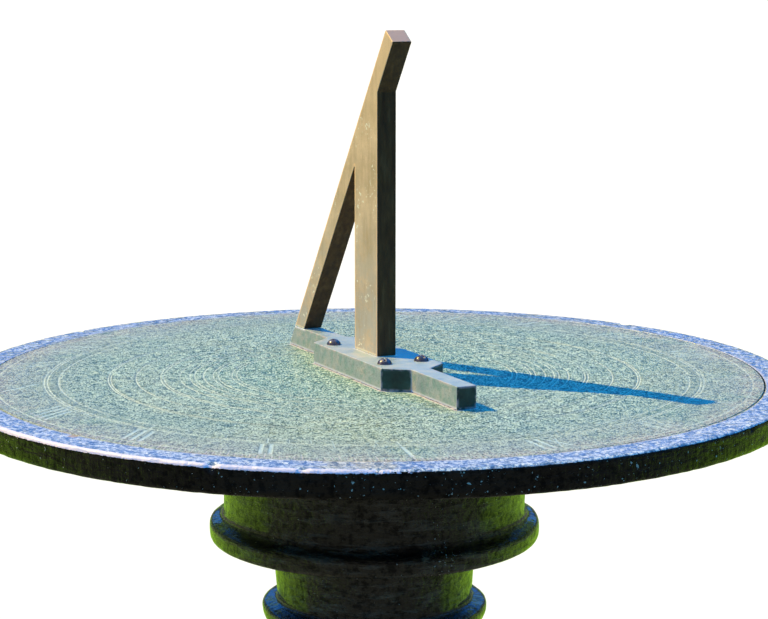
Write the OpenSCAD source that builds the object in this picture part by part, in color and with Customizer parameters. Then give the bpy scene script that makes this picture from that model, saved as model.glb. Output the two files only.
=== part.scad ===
// Garden sundial: a bronze dial plate and gnomon set in a round cast-iron table on a turned cast-iron pedestal.
// Millimetres. The origin is the centre of the plinth's base, +Z is up, and +Y is the noon line, running from the
// dial's hour origin towards the gnomon's high end. The section drawings below use heights measured from the
// table's top face, so they are negative downwards.

/* [Dial plate] */
// Latitude that the hour lines and the gnomon are laid out for, in degrees
latitude = 55.1; // [50:0.1:58]
// Diameter of the dial plate
plate_d = 480; // [478:1:484]
// Thickness of the dial plate
plate_t = 6; // [5:0.5:7]
// Width of an engraved line
line_w = 0.8; // [0.5:0.1:1.2]
// Depth of an engraved line
line_depth = 0.4; // [0.2:0.1:0.8]
// Inner radius of the chapter ring, where the hour lines start
chapter_in_r = 204; // [204:1:208]
// Outer radius of the chapter ring, where the hour lines end
chapter_out_r = 233; // [228:1:235]

/* [Gnomon] */
// Width of the bar that the gnomon is made from
bar_w = 12.7; // [11:0.1:14]
// Distance from the plate's centre back to the hour origin, where the style's edge meets the plate
origin_back = 120; // [115:1:125]
// Distance from the plate's centre to the foot's front end
foot_front = 123.4; // [110:0.1:130]
// Height of the foot
foot_h = 13.5; // [12:0.5:15]
// Width of the foot where the screws are
pad_w = 42; // [40:1:48]
// Distance from the plate's centre back to the end of the foot's full width
pad_back = 46.4; // [44:0.1:50]
// Distance from the plate's centre forward to the end of the foot's full width
pad_front = 53; // [50:0.1:56]
// Length of the slanting shoulders that narrow the foot
shoulder = 11.8; // [8:0.1:14]
// Width of the style, measured level
style_w = 14.8; // [13:0.1:17]
// Distance from the plate's centre back to the upright's back face
upright_back = 15.4; // [12:0.1:18]
// Distance from the plate's centre forward to the upright's front face
upright_front = 17.5; // [14:0.1:20]
// Height of the style's upper corner above the plate
tip_h = 213.2; // [208:0.1:230]

/* [Table] */
// Height of the table's top face
table_h = 1000; // [990:1:1010]
// Diameter of the table
table_d = 521; // [516:1:530]
// Thickness of the table at its rim
rim_t = 17; // [13:0.5:18]
// Thickness of the table's hub
hub_t = 24; // [22:1:28]
// Radius of the table's hub
hub_r = 128; // [126:1:135]

/* [Pedestal] */
// Radius of the capital's drum
drum_r = 95; // [92:1:97]
// Radius of the capital's lower bead
bead_r = 104; // [102:1:108]
// Radius of the neck below the capital
neck_r = 64.6; // [62:0.1:66]
// Radius of the neck's collar ring
ring_r = 71.5; // [69:0.5:74]
// Radius of the baluster at its belly
belly_r = 84; // [76:1:90]
// Radius of the baluster at its waist
waist_r = 48; // [46:1:50]
// Radius of the base's torus
torus_r = 122; // [116:1:124]
// Width of the square plinth
plinth_w = 360; // [350:1:380]
// Distance between neighbouring foundation bolt holes
foundation_pitch = 310; // [306:1:318]
// Diameter of a foundation bolt hole
foundation_hole_d = 14; // [12:0.5:16]

/* [Fixings] */
// Diameter of a foot screw's round head
foot_screw_head_d = 9.3; // [8.5:0.1:9.6]
// Height of a foot screw's round head
foot_screw_head_h = 3.6; // [3:0.1:4]
// Diameter of the tie rod
tie_rod_d = 16; // [14:1:16]
// Radius of the circle that the dial plate's studs stand on
stud_circle_r = 190; // [180:1:195]

/* [Hidden] */
$fn = 96;

bronze = "#8a7a56";
verdigris = "#8fa89b";
screw_bronze = "#4a3b3c";
black_paint = "#1c1d1b";
steel = "#8c8f92";
eps = 0.01;
quarters = [45, 135, 225, 315];

// Gnomon, in the plane of the noon line: y along the noon line and h above the plate.
function style_back_y(h) = -origin_back + h / tan(latitude);
function style_front_y(h) = style_back_y(h) + style_w;
function style_under_h(y) = (y + origin_back - style_w) * tan(latitude);
style_t = style_w * sin(latitude);
tip_back = [style_back_y(tip_h), tip_h];
tip_front = tip_back + style_t * [sin(latitude), -cos(latitude)];

// Foot screws: four round-headed slotted screws through the foot's full width into the plate.
foot_screw_r = 2.4;
foot_screw_hole_r = 2.6;
foot_screw_x = 12.4;
foot_screw_y = [
    (pad_front - pad_back) / 2 - 37.3,
    (pad_front - pad_back) / 2 + 37.3
];
slot_w = 1.2;
slot_depth = 1.5;
slot_turns = [35, 100, 160, 70];
head_sphere_r = (pow(foot_screw_head_d / 2, 2) + pow(foot_screw_head_h, 2)) / (2 * foot_screw_head_h);

// Frame screws: countersunk screws up through the foot into the upright and into the style.
frame_screw_r = 2.5;
frame_screw_head_r = 4.6;
frame_screw_head_h = 2.1;
frame_screw_sink = 0.4;
frame_screw_grip = 10;
frame_screw_y = [-origin_back + 20.5, 1 - 7.5, 1 + 7.5];

// Engraved circles of the plate, from the innermost outwards.
circle_radii = [
    86, 89, 97.5, 100.5, 106.5, 112, 115, 121, 131, 133, 148, 163.5, 165, 195, 202,
    chapter_in_r, chapter_out_r
];
hours_from_noon = [-8:8];
degrees_an_hour = 15;

// Dial studs: brazed to the plate, through the table, with a washer and nut below.
stud_r = 4;
stud_hole_r = 4.5;
stud_washer_r = 8;
stud_washer_t = 1.6;
stud_nut_r = 7.5;
stud_nut_h = 6.5;
stud_end = rim_t + stud_washer_t + stud_nut_h + 3;

// Table.
plate_gap = 0.6;
table_edge_r = 2.5;
table_lower_edge_r = 4;
hub_slope_r = 170;

// Table bolts: up through the capital's top flange into the table's hub.
table_bolt_circle_r = 111;
table_bolt_r = 4;
table_bolt_hole_r = 4.5;
table_bolt_head_r = 7.5;
table_bolt_head_h = 5.3;
table_bolt_grip = 13;
table_bolt_washer_r = 8.5;
table_bolt_washer_t = 1.6;

// Capital.
flange_r = 125;
flange_t = 10;
capital_top = -hub_t;
capital_bottom = -104;
bead_top = -91;
bead_edge_r = 2;
bead_lower_edge_r = 3.5;
drum_bottom = -85.5;
drum_core_r = drum_r - 12;
capital_floor_t = 20;
capital_floor = capital_bottom + capital_floor_t;
flange_fillet_r = 6;

// Joints between the castings: a spigot on each lower casting enters a socket in the one above.
spigot_r = 40;
spigot_h = 7.5;
socket_r = 40.2;
socket_h = 8;
bore_r = 30;
rod_hole_r = 9;

// Neck collar.
neck_low_r = neck_r - 3;
collar_bottom = -162;
ring_top = -144.5;
ring_slope = 1;
ring_edge_r = 3;
ring_ovolo_r = 13;
ring_ovolo_h = ring_top - ring_edge_r - 1;

// Baluster shaft.
shaft_top_r = 56;
shaft_neck_r = 50;
vase_top = -180;
belly_h = -590;
waist_h = -735;
shaft_bottom = -780;
shaft_foot_r = 66;
shaft_wall = 10;
shaft_end_t = 20;
profile_steps = 16;

// Base casting and plinth.
plinth_h = 65;
plinth_lower_h = 35;
plinth_upper_w = 270;
plinth_pocket_w = 210;
plinth_web_t = 20;
register_r = 103.7;
register_h = 6;
base_bottom = plinth_h - table_h;
base_r = 130;
base_plate_t = 29;
base_core_r = 104;
torus_bead_r = 18;
torus_h = base_bottom + base_plate_t + 14 + torus_bead_r;

// Tie rod, washers and nuts.
tie_rod_r = tie_rod_d / 2;
rod_washer_r = 15;
rod_washer_t = 3;
rod_nut_r = 13.86;
rod_nut_h = 13;
rod_spare = 7;
rod_web_bottom = plinth_h - plinth_web_t;

// Dowels that keep each casting from turning on the one below: [radius from the axis, height of the joint].
dowel_r = 3;
dowel_half = 8;
dowels = [
    [51, table_h + capital_bottom],
    [48, table_h + collar_bottom],
    [52, table_h + shaft_bottom],
    [117, plinth_h]
];

function arc_points(centre, r, from, to, steps = 8) = [
    for (i = [0:steps])
        let (a = from + (to - from) * i / steps)
            centre + r * [cos(a), sin(a)]
];
function smooth(t) = t * t * (3 - 2 * t);
function mix(a, b, t) = a + (b - a) * t;
function vase_r(z) =
    z > belly_h
        ? mix(shaft_neck_r, belly_r, smooth((vase_top - z) / (vase_top - belly_h)))
        : mix(belly_r, waist_r, smooth((belly_h - z) / (belly_h - waist_h)));
function vase_points(inset) = [
    for (i = [0:2 * profile_steps])
        let (z = i < profile_steps
            ? mix(vase_top, belly_h, i / profile_steps)
            : mix(belly_h, waist_h, (i - profile_steps) / profile_steps))
            [vase_r(z) - inset, z]
];
function reversed(list) = [for (i = [len(list) - 1:-1:0]) list[i]];

// Distance from a point to a circle about the plate's centre, along a unit direction.
function reach(from, along, circle_r) =
    let (b = from * along)
        -b + sqrt(b * b - from * from + circle_r * circle_r);
function hour_angle(hour) =
    let (h = hour * degrees_an_hour)
        atan2(sin(latitude) * sin(h), cos(h));

module at_table() {
    translate([0, 0, table_h]) children();
}

module turned(points) {
    at_table() rotate_extrude() polygon(points);
}

// Extrudes an outline drawn in [y, h] to a bar across the noon line.
module across_noon(width) {
    rotate([90, 0, 90]) linear_extrude(width, center = true) children();
}

module on_circle(radius, angles) {
    for (a = angles)
        translate([radius * cos(a), radius * sin(a), 0]) children();
}

module at_foot_screws() {
    for (side = [-1, 1], y = foot_screw_y)
        translate([side * foot_screw_x, y, 0]) children();
}

module at_frame_screws() {
    for (y = frame_screw_y)
        translate([0, y, 0]) children();
}

module gnomon_frame() {
    color(bronze) at_table() difference() {
        across_noon(bar_w) polygon([
            [style_back_y(foot_h), foot_h],
            tip_back,
            tip_front,
            [upright_front, style_under_h(upright_front)],
            [upright_front, foot_h],
            [-upright_back, foot_h],
            [-upright_back, style_under_h(-upright_back)],
            [style_front_y(foot_h), foot_h]
        ]);
        at_frame_screws()
            translate([0, 0, foot_h - eps]) cylinder(r = frame_screw_r, h = frame_screw_grip + 0.5);
    }
}

module gnomon_foot() {
    color(bronze) at_table() difference() {
        union() {
            across_noon(bar_w) polygon([
                [-origin_back, 0],
                [style_back_y(foot_h), foot_h],
                [foot_front, foot_h],
                [foot_front, 0]
            ]);
            linear_extrude(foot_h) polygon([
                [-bar_w / 2, -pad_back - shoulder],
                [-pad_w / 2, -pad_back],
                [-pad_w / 2, pad_front],
                [-bar_w / 2, pad_front + shoulder],
                [bar_w / 2, pad_front + shoulder],
                [pad_w / 2, pad_front],
                [pad_w / 2, -pad_back],
                [bar_w / 2, -pad_back - shoulder]
            ]);
        }
        at_foot_screws()
            translate([0, 0, -1]) cylinder(r = foot_screw_hole_r, h = foot_h + 2);
        at_frame_screws() {
            translate([0, 0, -1]) cylinder(r = frame_screw_r + 0.1, h = foot_h + 2);
            translate([0, 0, -eps])
                cylinder(r1 = frame_screw_head_r + 0.5, r2 = frame_screw_r + 0.1, h = frame_screw_head_h + 0.8);
        }
    }
}

module foot_screw(turn) {
    shank = foot_h + plate_t - 0.5;
    translate([0, 0, -plate_t + 0.5]) cylinder(r = foot_screw_r, h = shank + eps);
    translate([0, 0, foot_h]) difference() {
        intersection() {
            translate([0, 0, foot_screw_head_h - head_sphere_r]) sphere(r = head_sphere_r);
            cylinder(r = foot_screw_head_d, h = foot_screw_head_h + 1);
        }
        rotate(turn) translate([-foot_screw_head_d, -slot_w / 2, foot_screw_head_h - slot_depth])
            cube([2 * foot_screw_head_d, slot_w, slot_depth + 1]);
    }
}

module foot_screws() {
    color(screw_bronze) at_table()
        for (side = [0, 1], row = [0, 1])
            translate([(2 * side - 1) * foot_screw_x, foot_screw_y[row], 0])
                foot_screw(slot_turns[2 * side + row]);
}

module frame_screws() {
    color(screw_bronze) at_table() at_frame_screws() {
        translate([0, 0, frame_screw_sink]) difference() {
            cylinder(r1 = frame_screw_head_r, r2 = frame_screw_r, h = frame_screw_head_h);
            translate([-frame_screw_head_r - 1, -slot_w / 2, -1])
                cube([2 * frame_screw_head_r + 2, slot_w, 2]);
        }
        translate([0, 0, frame_screw_sink + frame_screw_head_h - eps])
            cylinder(r = frame_screw_r, h = foot_h - frame_screw_sink - frame_screw_head_h + frame_screw_grip);
    }
}

module hour_line(hour, side) {
    angle = hour_angle(hour);
    along = [sin(angle), cos(angle)];
    start = [side * bar_w / 2, -origin_back];
    near = reach(start, along, chapter_in_r);
    far = reach(start, along, chapter_out_r);
    translate([start[0], start[1], -line_depth])
        rotate(-angle) translate([-line_w / 2, near, 0])
            cube([line_w, far - near, line_depth + 1]);
}

module dial_plate() {
    color(verdigris) at_table() difference() {
        rotate_extrude() polygon(concat(
            [[0, -plate_t], [plate_d / 2, -plate_t], [plate_d / 2, 0]],
            [
                for (r = reversed(circle_radii), corner = [[1, 0], [1, -1], [-1, -1], [-1, 0]])
                    [r + corner[0] * line_w / 2, corner[1] * line_depth]
            ],
            [[0, 0]]
        ));
        for (hour = hours_from_noon)
            hour_line(hour, hour < 0 ? -1 : 1);
        hour_line(0, -1);
        at_foot_screws()
            translate([0, 0, -plate_t - 1]) cylinder(r = foot_screw_r, h = plate_t + 2);
    }
}

module dial_studs() {
    color(bronze) at_table() on_circle(stud_circle_r, quarters)
        translate([0, 0, -stud_end]) cylinder(r = stud_r, h = stud_end - plate_t);
}

module dial_stud_washers() {
    color(steel) at_table() on_circle(stud_circle_r, quarters)
        translate([0, 0, -rim_t - stud_washer_t]) difference() {
            cylinder(r = stud_washer_r, h = stud_washer_t);
            translate([0, 0, -1]) cylinder(r = stud_r + 0.3, h = stud_washer_t + 2);
        }
}

module dial_stud_nuts() {
    color(steel) at_table() on_circle(stud_circle_r, quarters)
        translate([0, 0, -rim_t - stud_washer_t - stud_nut_h]) difference() {
            cylinder(r = stud_nut_r, h = stud_nut_h, $fn = 6);
            translate([0, 0, -1]) cylinder(r = stud_r, h = stud_nut_h + 2);
        }
}

module table_top() {
    edge = table_d / 2;
    recess_r = plate_d / 2 + plate_gap;
    color(black_paint) difference() {
        turned(concat(
            [[0, -plate_t], [recess_r, -plate_t], [recess_r, 0]],
            arc_points([edge - table_edge_r, -table_edge_r], table_edge_r, 90, 0),
            arc_points([edge - table_lower_edge_r, -rim_t + table_lower_edge_r], table_lower_edge_r, 0, -90),
            [[hub_slope_r, -rim_t], [hub_r, -hub_t], [0, -hub_t]]
        ));
        at_table() {
            on_circle(stud_circle_r, quarters)
                translate([0, 0, -hub_t]) cylinder(r = stud_hole_r, h = hub_t);
            on_circle(table_bolt_circle_r, quarters)
                translate([0, 0, -hub_t - 1]) cylinder(r = table_bolt_r, h = table_bolt_grip + 2);
        }
    }
}

module table_bolts() {
    under_flange = capital_top - flange_t - table_bolt_washer_t;
    color(steel) at_table() on_circle(table_bolt_circle_r, quarters) {
        translate([0, 0, under_flange - table_bolt_head_h])
            cylinder(r = table_bolt_head_r, h = table_bolt_head_h, $fn = 6);
        translate([0, 0, under_flange - eps])
            cylinder(r = table_bolt_r, h = flange_t + table_bolt_washer_t + table_bolt_grip);
    }
}

module table_bolt_washers() {
    color(steel) at_table() on_circle(table_bolt_circle_r, quarters)
        translate([0, 0, capital_top - flange_t - table_bolt_washer_t]) difference() {
            cylinder(r = table_bolt_washer_r, h = table_bolt_washer_t);
            translate([0, 0, -1]) cylinder(r = table_bolt_hole_r, h = table_bolt_washer_t + 2);
        }
}

module capital() {
    fillet_centre = [drum_r + flange_fillet_r, capital_top - flange_t - flange_fillet_r];
    color(black_paint) difference() {
        turned(concat(
            [[drum_core_r, capital_top], [flange_r, capital_top], [flange_r, capital_top - flange_t]],
            arc_points(fillet_centre, flange_fillet_r, 90, 180),
            arc_points([bead_r - bead_edge_r, drum_bottom], bead_r - bead_edge_r - drum_r, 180, 220, 4),
            arc_points([bead_r - bead_edge_r, bead_top - bead_edge_r], bead_edge_r, 90, 0, 4),
            arc_points(
                [bead_r - bead_lower_edge_r, capital_bottom + bead_lower_edge_r], bead_lower_edge_r, 0, -90, 5
            ),
            [
                [socket_r, capital_bottom], [socket_r, capital_bottom + socket_h],
                [rod_hole_r, capital_bottom + socket_h], [rod_hole_r, capital_floor],
                [drum_core_r, capital_floor]
            ]
        ));
        at_table() on_circle(table_bolt_circle_r, quarters)
            translate([0, 0, capital_top - flange_t - 1]) cylinder(r = table_bolt_hole_r, h = flange_t + 2);
        joint_dowel(0);
    }
}

module neck_collar() {
    color(black_paint) difference() {
        turned(concat(
            [
                [bore_r, capital_bottom + spigot_h], [spigot_r, capital_bottom + spigot_h],
                [spigot_r, capital_bottom], [neck_r + 2, capital_bottom], [neck_r, capital_bottom - 4],
                [neck_low_r, ring_top + ring_slope]
            ],
            arc_points([ring_r - ring_edge_r, ring_top - ring_edge_r], ring_edge_r, 90, 0, 4),
            arc_points([ring_r - ring_ovolo_r, ring_ovolo_h], ring_ovolo_r, 0, -75),
            [
                [shaft_top_r, collar_bottom],
                [socket_r, collar_bottom], [socket_r, collar_bottom + socket_h],
                [bore_r, collar_bottom + socket_h]
            ]
        ));
        joint_dowel(0);
        joint_dowel(1);
    }
}

module shaft() {
    color(black_paint) difference() {
        turned(concat(
            [
                [bore_r, collar_bottom + spigot_h], [spigot_r, collar_bottom + spigot_h],
                [spigot_r, collar_bottom], [shaft_top_r, collar_bottom], [shaft_top_r, collar_bottom - 6]
            ],
            vase_points(0),
            [[waist_r + 3, waist_h - 8]],
            arc_points([waist_r + 5, waist_h - 17], 8, 60, -60),
            [
                [shaft_foot_r, shaft_bottom + 12], [shaft_foot_r, shaft_bottom],
                [socket_r, shaft_bottom], [socket_r, shaft_bottom + socket_h],
                [bore_r, shaft_bottom + socket_h], [bore_r, shaft_bottom + shaft_end_t]
            ],
            reversed(vase_points(shaft_wall)),
            [[bore_r, vase_top]]
        ));
        joint_dowel(1);
        joint_dowel(2);
    }
}

module base_casting() {
    cavetto_r = 34;
    torus_x = torus_r - torus_bead_r;
    color(black_paint) difference() {
        turned(concat(
            [
                [bore_r, shaft_bottom + spigot_h], [spigot_r, shaft_bottom + spigot_h],
                [spigot_r, shaft_bottom], [shaft_foot_r, shaft_bottom], [shaft_foot_r, shaft_bottom - 8]
            ],
            arc_points([torus_x, torus_h + torus_bead_r + 6 + cavetto_r], cavetto_r, 180, 270),
            [[torus_x, torus_h + torus_bead_r]],
            arc_points([torus_x, torus_h], torus_bead_r, 90, -90, 12),
            [
                [torus_x + 6, torus_h - torus_bead_r], [base_r - 8, base_bottom + base_plate_t],
                [base_r, base_bottom + base_plate_t - 6], [base_r, base_bottom],
                [base_core_r, base_bottom], [base_core_r, base_bottom + 16],
                [torus_x - 12, torus_h - torus_bead_r], [torus_x - 12, torus_h + torus_bead_r],
                [shaft_foot_r - 10, shaft_bottom - 40], [shaft_foot_r - 10, shaft_bottom - 20],
                [bore_r, shaft_bottom - 20]
            ]
        ));
        joint_dowel(2);
        joint_dowel(3);
    }
}

module block(width, low, high) {
    translate([-width / 2, -width / 2, low]) cube([width, width, high - low]);
}

module plinth() {
    half = foundation_pitch / 2;
    color(black_paint) difference() {
        union() {
            block(plinth_w, 0, plinth_lower_h);
            block(plinth_upper_w, 0, plinth_h);
            cylinder(r = register_r, h = plinth_h + register_h);
        }
        block(plinth_pocket_w, -1, rod_web_bottom);
        cylinder(r = rod_hole_r, h = plinth_h + register_h + 1);
        for (x = [-half, half], y = [-half, half])
            translate([x, y, -1]) cylinder(d = foundation_hole_d, h = plinth_lower_h + 2);
        joint_dowel(3);
    }
}

module tie_rod() {
    low = rod_web_bottom - rod_washer_t - rod_nut_h - rod_spare;
    high = table_h + capital_floor + rod_washer_t + rod_nut_h + rod_spare;
    color(steel) translate([0, 0, low]) cylinder(r = tie_rod_r, h = high - low);
}

module tie_rod_washers() {
    color(steel)
        for (z = [rod_web_bottom - rod_washer_t, table_h + capital_floor])
            translate([0, 0, z]) difference() {
                cylinder(r = rod_washer_r, h = rod_washer_t);
                translate([0, 0, -1]) cylinder(r = tie_rod_r + 0.5, h = rod_washer_t + 2);
            }
}

module tie_rod_nuts() {
    color(steel)
        for (z = [rod_web_bottom - rod_washer_t - rod_nut_h, table_h + capital_floor + rod_washer_t])
            translate([0, 0, z]) difference() {
                cylinder(r = rod_nut_r, h = rod_nut_h, $fn = 6);
                translate([0, 0, -1]) cylinder(r = tie_rod_r, h = rod_nut_h + 2);
            }
}

module joint_dowel(index) {
    translate([dowels[index][0], 0, dowels[index][1] - dowel_half])
        cylinder(r = dowel_r, h = 2 * dowel_half);
}

module joint_dowels() {
    color(steel)
        for (index = [0:len(dowels) - 1])
            joint_dowel(index);
}

gnomon_frame();
gnomon_foot();
foot_screws();
frame_screws();
dial_plate();
dial_studs();
dial_stud_washers();
dial_stud_nuts();
table_top();
table_bolts();
table_bolt_washers();
capital();
neck_collar();
shaft();
base_casting();
plinth();
tie_rod();
tie_rod_washers();
tie_rod_nuts();
joint_dowels();
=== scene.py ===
"""Looks of the garden sundial: a bronze dial and gnomon on a black-painted cast-iron table and pedestal.

Lengths are metres in the part's own frame: +Z up, +Y along the noon line, +X the dial's afternoon side.
MM turns the millimetres that a maker would quote into metres.
"""

import math

import bmesh
import bpy
import numpy as np
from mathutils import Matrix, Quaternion, Vector


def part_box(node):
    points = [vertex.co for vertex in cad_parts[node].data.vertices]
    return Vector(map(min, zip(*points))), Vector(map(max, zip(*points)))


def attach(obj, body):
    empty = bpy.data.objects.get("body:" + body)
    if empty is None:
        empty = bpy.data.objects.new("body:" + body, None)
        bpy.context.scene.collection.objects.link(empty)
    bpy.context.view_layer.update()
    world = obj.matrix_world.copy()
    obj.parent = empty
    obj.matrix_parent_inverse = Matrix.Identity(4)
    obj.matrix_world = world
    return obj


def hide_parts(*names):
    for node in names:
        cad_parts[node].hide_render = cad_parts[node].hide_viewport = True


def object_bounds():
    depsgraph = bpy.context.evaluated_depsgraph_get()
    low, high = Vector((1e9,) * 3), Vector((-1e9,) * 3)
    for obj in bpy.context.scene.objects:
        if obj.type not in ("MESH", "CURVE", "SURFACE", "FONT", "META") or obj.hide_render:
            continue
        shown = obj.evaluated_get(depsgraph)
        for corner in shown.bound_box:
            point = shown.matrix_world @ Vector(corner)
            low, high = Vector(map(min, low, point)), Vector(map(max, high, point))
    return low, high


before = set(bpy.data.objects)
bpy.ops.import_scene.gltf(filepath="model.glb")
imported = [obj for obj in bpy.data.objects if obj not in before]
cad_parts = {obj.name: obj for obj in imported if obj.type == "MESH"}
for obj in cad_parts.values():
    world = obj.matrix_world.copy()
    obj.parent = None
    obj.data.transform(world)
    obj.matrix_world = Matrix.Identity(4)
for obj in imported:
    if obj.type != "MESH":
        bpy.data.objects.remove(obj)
CAD_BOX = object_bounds()
MM = 0.001
BODY = "root"

PLATE_LOW, PLATE_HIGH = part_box("dial_plate")
PLATE_TOP = PLATE_HIGH.z
PLATE_R = PLATE_HIGH.x
FOOT_LOW, FOOT_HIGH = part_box("gnomon_foot")
FRAME_LOW, FRAME_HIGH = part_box("gnomon_frame")
TABLE_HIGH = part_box("table_top")[1]
TABLE_R = TABLE_HIGH.x


# ---------------------------------------------------------------- camera, lights and floor

LENS_MM = 98.6
CAMERA_AZIMUTH = math.radians(154.63)
CAMERA_ELEVATION = math.radians(10.82)
CAMERA_DISTANCE = 1.3153
CAMERA_AIM = Vector((-0.0065, 0.0003, 0.0396))
CAMERA_ROLL = math.radians(0.03)
SUN_TRAVEL = Vector((-0.478, 0.471, -0.742))
SUN_STRENGTH = 5.0
SUN_COLOUR = (1.0, 0.76, 0.18)
SUN_SPREAD = math.radians(0.6)


def make_camera():
    middle = Vector((0, 0, PLATE_TOP))
    back = Vector((
        math.sin(CAMERA_AZIMUTH) * math.cos(CAMERA_ELEVATION),
        -math.cos(CAMERA_AZIMUTH) * math.cos(CAMERA_ELEVATION),
        math.sin(CAMERA_ELEVATION),
    ))
    camera = bpy.data.objects.new("camera", bpy.data.cameras.new("camera"))
    bpy.context.scene.collection.objects.link(camera)
    camera.data.lens = LENS_MM
    camera.data.sensor_width = 36
    camera.data.clip_start = 0.05
    camera.data.clip_end = 1000
    camera.location = middle + back * CAMERA_DISTANCE
    look = middle + CAMERA_AIM - camera.location
    camera.rotation_mode = "QUATERNION"
    camera.rotation_quaternion = look.to_track_quat("-Z", "Y") @ Quaternion((0, 0, 1), CAMERA_ROLL)
    bpy.context.scene.camera = camera


def make_sun():
    sun = bpy.data.objects.new("sun", bpy.data.lights.new("sun", "SUN"))
    bpy.context.scene.collection.objects.link(sun)
    sun.data.energy = SUN_STRENGTH
    sun.data.color = SUN_COLOUR
    sun.data.angle = SUN_SPREAD
    sun.rotation_mode = "QUATERNION"
    sun.rotation_quaternion = SUN_TRAVEL.to_track_quat("-Z", "Y")


# ---------------------------------------------------------------- building materials


class Shader:
    """The node tree of a material or a world. Most methods add one node and return its output socket."""

    def __init__(self, owner, coordinates="Object"):
        owner.use_nodes = True
        self.owner = owner
        self.tree = owner.node_tree
        self.position = self.add("ShaderNodeTexCoord").outputs[coordinates]

    def add(self, kind, **settings):
        node = self.tree.nodes.new(kind)
        for key, value in settings.items():
            setattr(node, key, value)
        return node

    def plug(self, socket, value):
        if isinstance(value, bpy.types.NodeSocket):
            self.tree.links.new(value, socket)
        elif isinstance(value, (tuple, list)) and len(value) == 3 and socket.type == "RGBA":
            socket.default_value = (*value, 1)
        else:
            socket.default_value = value

    def stretched(self, x, y, z):
        node = self.add("ShaderNodeMapping")
        self.plug(node.inputs["Vector"], self.position)
        node.inputs["Scale"].default_value = (x, y, z)
        return node.outputs["Vector"]

    def noise(self, size, detail=3.0, rough=0.55, vector=None, warp=0.0):
        node = self.add("ShaderNodeTexNoise")
        self.plug(node.inputs["Vector"], vector or self.position)
        node.inputs["Scale"].default_value = 1 / size
        node.inputs["Detail"].default_value = detail
        node.inputs["Roughness"].default_value = rough
        node.inputs["Distortion"].default_value = warp
        return node.outputs["Fac"]

    def step(self, value, low, high, to_low=0.0, to_high=1.0):
        """Smoothly takes value from to_low at low to to_high at high."""
        node = self.add("ShaderNodeMapRange", interpolation_type="SMOOTHSTEP")
        self.plug(node.inputs["Value"], value)
        node.inputs["From Min"].default_value = low
        node.inputs["From Max"].default_value = high
        node.inputs["To Min"].default_value = to_low
        node.inputs["To Max"].default_value = to_high
        return node.outputs["Result"]

    def math(self, operation, a, b=0.0):
        node = self.add("ShaderNodeMath", operation=operation)
        self.plug(node.inputs[0], a)
        self.plug(node.inputs[1], b)
        return node.outputs[0]

    def times(self, a, b):
        return self.math("MULTIPLY", a, b)

    def plus(self, a, b):
        return self.math("ADD", a, b)

    def minus(self, a, b):
        return self.math("SUBTRACT", a, b)

    def larger(self, a, b):
        return self.math("MAXIMUM", a, b)

    def mix(self, amount, a, b):
        """Takes a towards b by amount, from 0 to 1."""
        node = self.add("ShaderNodeMix", data_type="RGBA")
        self.plug(node.inputs["Factor"], amount)
        self.plug(node.inputs["A"], a)
        self.plug(node.inputs["B"], b)
        return node.outputs["Result"]

    def ramp(self, value, *stops):
        node = self.add("ShaderNodeValToRGB")
        self.plug(node.inputs["Fac"], value)
        elements = node.color_ramp.elements
        while len(elements) < len(stops):
            elements.new(0.5)
        for element, (place, colour) in zip(elements, stops):
            element.position = place
            element.color = (*colour, 1)
        return node.outputs["Color"]

    def attribute(self, name):
        return self.add("ShaderNodeAttribute", attribute_name=name).outputs["Fac"]

    def axis(self, letter):
        node = self.add("ShaderNodeSeparateXYZ")
        self.plug(node.inputs[0], self.position)
        return node.outputs[letter]

    def radius(self):
        """Distance from the pedestal's axis."""
        return self.distance_to(0.0, 0.0)

    def toward_viewer(self):
        """How far the position lies towards the camera's side, along the ground."""
        across = self.times(self.axis("X"), math.sin(CAMERA_AZIMUTH))
        along = self.times(self.axis("Y"), -math.cos(CAMERA_AZIMUTH))
        return self.plus(across, along)

    def distance_to(self, x, y):
        across = self.math("POWER", self.minus(self.axis("X"), x), 2.0)
        along = self.math("POWER", self.minus(self.axis("Y"), y), 2.0)
        return self.math("SQRT", self.plus(across, along))

    def bump(self, height, depth, under=None):
        node = self.add("ShaderNodeBump")
        node.inputs["Strength"].default_value = 1.0
        node.inputs["Distance"].default_value = depth
        self.plug(node.inputs["Height"], height)
        if under is not None:
            self.plug(node.inputs["Normal"], under)
        return node.outputs["Normal"]

    def finish(self, colour, roughness, normal=None, metallic=0.0, **others):
        inputs = self.tree.nodes["Principled BSDF"].inputs
        self.plug(inputs["Base Color"], colour)
        self.plug(inputs["Roughness"], roughness)
        self.plug(inputs["Metallic"], metallic)
        if normal is not None:
            self.plug(inputs["Normal"], normal)
        for name, value in others.items():
            self.plug(inputs[name.replace("_", " ")], value)
        return self.owner


# Places (x, y) of single marks, and the heights between which the table's side gives way to its underside.
MOSS_AT = (78 * MM, 145 * MM)
KNOCKED_AT = (3.5 * MM, 100 * MM)
RUST_AT = (224.5 * MM, 93.8 * MM)
SIDE_FROM = TABLE_HIGH.z - 18 * MM
SIDE_TO = TABLE_HIGH.z - 26 * MM


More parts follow.
